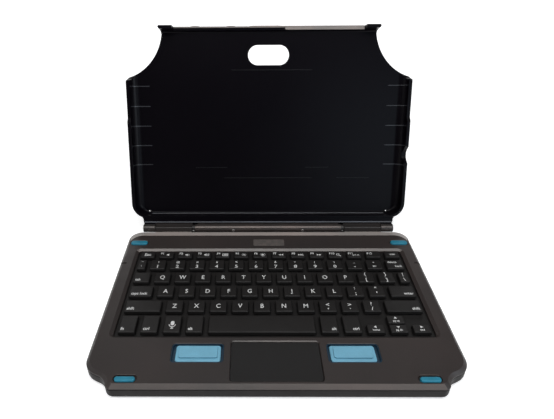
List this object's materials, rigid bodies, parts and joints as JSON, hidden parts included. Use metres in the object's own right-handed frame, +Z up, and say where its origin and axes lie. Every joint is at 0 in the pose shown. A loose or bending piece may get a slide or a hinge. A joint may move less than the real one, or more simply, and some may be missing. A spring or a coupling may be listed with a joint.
{
  "type": "attachable rugged keyboard with tablet cover",
  "caption": "Rugged keyboard base with touchpad and pointer buttons, hinged to an open tablet cover with scooped corners and a camera window.",
  "frame": {"origin": "centre of the bounding box in x and y, on the surface that the feet stand on, with the cover open at 109.2 degrees", "axes": "+X to the right along the hinge, +Y from the front edge to the hinge, +Z up"},
  "size_m": [0.26, 0.2554, 0.1865],
  "materials": {
    "case": "fine moulded grain, warm dark grey",
    "lower_case": "fine moulded grain, darker",
    "cover": "smooth near-black, slightly glossy",
    "key": "soft satin key caps",
    "mat": "matt silicone",
    "touchpad": "satin film",
    "button": "light blue silicone",
    "pad": "teal blue silicone",
    "rubber": "matt black rubber",
    "steel": "plain steel",
    "barrel": "satin dark grey",
    "trim": "satin grey",
    "board": "solder mask green",
    "battery": "grey pouch"
  },
  "bodies": {
    "base": {"bottom_case": "lower_case", "top_case": "case", "keymat": "mat", "main_board": "board", "battery_pack": "battery", "touchpad": "touchpad", "rear_left_pad": "pad", "rear_right_pad": "pad", "front_left_pad": "pad", "front_right_pad": "pad", "rear_foot": "rubber", "front_foot": "rubber", "case_screw_1": "steel", "case_screw_2": "steel", "case_screw_3": "steel", "case_screw_4": "steel"},
    "cover": {"cover_shell": "cover", "top_trim": "trim", "hinge_barrel": "barrel", "left_hinge_shaft": "steel", "right_hinge_shaft": "steel"},
    "left_button": {"left_button": "button"},
    "right_button": {"right_button": "button"},
    "tab_key": {"tab_key": "key"},
    "caps_lock_key": {"caps_lock_key": "key"},
    "left_shift_key": {"left_shift_key": "key"},
    "space_bar": {"space_bar": "key"},
    "key_q": {"key_q": "key"},
    "key_w": {"key_w": "key"},
    "key_e": {"key_e": "key"},
    "key_r": {"key_r": "key"},
    "key_t": {"key_t": "key"},
    "key_y": {"key_y": "key"},
    "key_u": {"key_u": "key"},
    "key_i": {"key_i": "key"},
    "key_o": {"key_o": "key"},
    "key_p": {"key_p": "key"},
    "key_a": {"key_a": "key"},
    "key_s": {"key_s": "key"},
    "key_d": {"key_d": "key"},
    "key_f": {"key_f": "key"},
    "key_g": {"key_g": "key"},
    "key_h": {"key_h": "key"},
    "key_j": {"key_j": "key"},
    "key_k": {"key_k": "key"},
    "key_l": {"key_l": "key"},
    "key_z": {"key_z": "key"},
    "key_x": {"key_x": "key"},
    "key_c": {"key_c": "key"},
    "key_v": {"key_v": "key"},
    "key_b": {"key_b": "key"},
    "key_n": {"key_n": "key"},
    "key_m": {"key_m": "key"},
    "function_keys": {"function_keys": "key"},
    "number_keys": {"number_keys": "key"},
    "bracket_keys": {"bracket_keys": "key"},
    "enter_keys": {"enter_keys": "key"},
    "right_shift_keys": {"right_shift_keys": "key"},
    "left_modifier_keys": {"left_modifier_keys": "key"},
    "arrow_keys": {"arrow_keys": "key"}
  },
  "joints": [
    {"name": "cover_hinge", "type": "hinge", "parent": "base", "child": "cover", "pos_m": [0, 0.05349, 0.0118], "axis": [1, 0, 0], "range_deg": [-25, 109]},
    {"name": "left_button_press", "type": "slide", "parent": "base", "child": "left_button", "axis": [0, 0, -1], "range_m": [0, 0.0008], "stiffness_N_per_m": 700, "springref_m": -0.001},
    {"name": "right_button_press", "type": "slide", "parent": "base", "child": "right_button", "axis": [0, 0, -1], "range_m": [0, 0.0008], "stiffness_N_per_m": 700, "springref_m": -0.001},
    {"name": "tab_key_press", "type": "slide", "parent": "base", "child": "tab_key", "axis": [0, 0, -1], "range_m": [0, 0.0012], "stiffness_N_per_m": 300, "springref_m": -0.001},
    {"name": "caps_lock_key_press", "type": "slide", "parent": "base", "child": "caps_lock_key", "axis": [0, 0, -1], "range_m": [0, 0.0012], "stiffness_N_per_m": 300, "springref_m": -0.001},
    {"name": "left_shift_key_press", "type": "slide", "parent": "base", "child": "left_shift_key", "axis": [0, 0, -1], "range_m": [0, 0.0012], "stiffness_N_per_m": 300, "springref_m": -0.001},
    {"name": "space_bar_press", "type": "slide", "parent": "base", "child": "space_bar", "axis": [0, 0, -1], "range_m": [0, 0.0012], "stiffness_N_per_m": 600, "springref_m": -0.001},
    {"name": "key_q_press", "type": "slide", "parent": "base", "child": "key_q", "axis": [0, 0, -1], "range_m": [0, 0.0012], "stiffness_N_per_m": 300, "springref_m": -0.001},
    {"name": "key_w_press", "type": "slide", "parent": "base", "child": "key_w", "axis": [0, 0, -1], "range_m": [0, 0.0012], "stiffness_N_per_m": 300, "springref_m": -0.001},
    {"name": "key_e_press", "type": "slide", "parent": "base", "child": "key_e", "axis": [0, 0, -1], "range_m": [0, 0.0012], "stiffness_N_per_m": 300, "springref_m": -0.001},
    {"name": "key_r_press", "type": "slide", "parent": "base", "child": "key_r", "axis": [0, 0, -1], "range_m": [0, 0.0012], "stiffness_N_per_m": 300, "springref_m": -0.001},
    {"name": "key_t_press", "type": "slide", "parent": "base", "child": "key_t", "axis": [0, 0, -1], "range_m": [0, 0.0012], "stiffness_N_per_m": 300, "springref_m": -0.001},
    {"name": "key_y_press", "type": "slide", "parent": "base", "child": "key_y", "axis": [0, 0, -1], "range_m": [0, 0.0012], "stiffness_N_per_m": 300, "springref_m": -0.001},
    {"name": "key_u_press", "type": "slide", "parent": "base", "child": "key_u", "axis": [0, 0, -1], "range_m": [0, 0.0012], "stiffness_N_per_m": 300, "springref_m": -0.001},
    {"name": "key_i_press", "type": "slide", "parent": "base", "child": "key_i", "axis": [0, 0, -1], "range_m": [0, 0.0012], "stiffness_N_per_m": 300, "springref_m": -0.001},
    {"name": "key_o_press", "type": "slide", "parent": "base", "child": "key_o", "axis": [0, 0, -1], "range_m": [0, 0.0012], "stiffness_N_per_m": 300, "springref_m": -0.001},
    {"name": "key_p_press", "type": "slide", "parent": "base", "child": "key_p", "axis": [0, 0, -1], "range_m": [0, 0.0012], "stiffness_N_per_m": 300, "springref_m": -0.001},
    {"name": "key_a_press", "type": "slide", "parent": "base", "child": "key_a", "axis": [0, 0, -1], "range_m": [0, 0.0012], "stiffness_N_per_m": 300, "springref_m": -0.001},
    {"name": "key_s_press", "type": "slide", "parent": "base", "child": "key_s", "axis": [0, 0, -1], "range_m": [0, 0.0012], "stiffness_N_per_m": 300, "springref_m": -0.001},
    {"name": "key_d_press", "type": "slide", "parent": "base", "child": "key_d", "axis": [0, 0, -1], "range_m": [0, 0.0012], "stiffness_N_per_m": 300, "springref_m": -0.001},
    {"name": "key_f_press", "type": "slide", "parent": "base", "child": "key_f", "axis": [0, 0, -1], "range_m": [0, 0.0012], "stiffness_N_per_m": 300, "springref_m": -0.001},
    {"name": "key_g_press", "type": "slide", "parent": "base", "child": "key_g", "axis": [0, 0, -1], "range_m": [0, 0.0012], "stiffness_N_per_m": 300, "springref_m": -0.001},
    {"name": "key_h_press", "type": "slide", "parent": "base", "child": "key_h", "axis": [0, 0, -1], "range_m": [0, 0.0012], "stiffness_N_per_m": 300, "springref_m": -0.001},
    {"name": "key_j_press", "type": "slide", "parent": "base", "child": "key_j", "axis": [0, 0, -1], "range_m": [0, 0.0012], "stiffness_N_per_m": 300, "springref_m": -0.001},
    {"name": "key_k_press", "type": "slide", "parent": "base", "child": "key_k", "axis": [0, 0, -1], "range_m": [0, 0.0012], "stiffness_N_per_m": 300, "springref_m": -0.001},
    {"name": "key_l_press", "type": "slide", "parent": "base", "child": "key_l", "axis": [0, 0, -1], "range_m": [0, 0.0012], "stiffness_N_per_m": 300, "springref_m": -0.001},
    {"name": "key_z_press", "type": "slide", "parent": "base", "child": "key_z", "axis": [0, 0, -1], "range_m": [0, 0.0012], "stiffness_N_per_m": 300, "springref_m": -0.001},
    {"name": "key_x_press", "type": "slide", "parent": "base", "child": "key_x", "axis": [0, 0, -1], "range_m": [0, 0.0012], "stiffness_N_per_m": 300, "springref_m": -0.001},
    {"name": "key_c_press", "type": "slide", "parent": "base", "child": "key_c", "axis": [0, 0, -1], "range_m": [0, 0.0012], "stiffness_N_per_m": 300, "springref_m": -0.001},
    {"name": "key_v_press", "type": "slide", "parent": "base", "child": "key_v", "axis": [0, 0, -1], "range_m": [0, 0.0012], "stiffness_N_per_m": 300, "springref_m": -0.001},
    {"name": "key_b_press", "type": "slide", "parent": "base", "child": "key_b", "axis": [0, 0, -1], "range_m": [0, 0.0012], "stiffness_N_per_m": 300, "springref_m": -0.001},
    {"name": "key_n_press", "type": "slide", "parent": "base", "child": "key_n", "axis": [0, 0, -1], "range_m": [0, 0.0012], "stiffness_N_per_m": 300, "springref_m": -0.001},
    {"name": "key_m_press", "type": "slide", "parent": "base", "child": "key_m", "axis": [0, 0, -1], "range_m": [0, 0.0012], "stiffness_N_per_m": 300, "springref_m": -0.001},
    {"name": "function_keys_press", "type": "slide", "parent": "base", "child": "function_keys", "axis": [0, 0, -1], "range_m": [0, 0.0012], "stiffness_N_per_m": 600, "springref_m": -0.001},
    {"name": "number_keys_press", "type": "slide", "parent": "base", "child": "number_keys", "axis": [0, 0, -1], "range_m": [0, 0.0012], "stiffness_N_per_m": 600, "springref_m": -0.001},
    {"name": "bracket_keys_press", "type": "slide", "parent": "base", "child": "bracket_keys", "axis": [0, 0, -1], "range_m": [0, 0.0012], "stiffness_N_per_m": 600, "springref_m": -0.001},
    {"name": "enter_keys_press", "type": "slide", "parent": "base", "child": "enter_keys", "axis": [0, 0, -1], "range_m": [0, 0.0012], "stiffness_N_per_m": 600, "springref_m": -0.001},
    {"name": "right_shift_keys_press", "type": "slide", "parent": "base", "child": "right_shift_keys", "axis": [0, 0, -1], "range_m": [0, 0.0012], "stiffness_N_per_m": 600, "springref_m": -0.001},
    {"name": "left_modifier_keys_press", "type": "slide", "parent": "base", "child": "left_modifier_keys", "axis": [0, 0, -1], "range_m": [0, 0.0012], "stiffness_N_per_m": 600, "springref_m": -0.001},
    {"name": "arrow_keys_press", "type": "slide", "parent": "base", "child": "arrow_keys", "axis": [0, 0, -1], "range_m": [0, 0.0012], "stiffness_N_per_m": 600, "springref_m": -0.001}
  ]
}
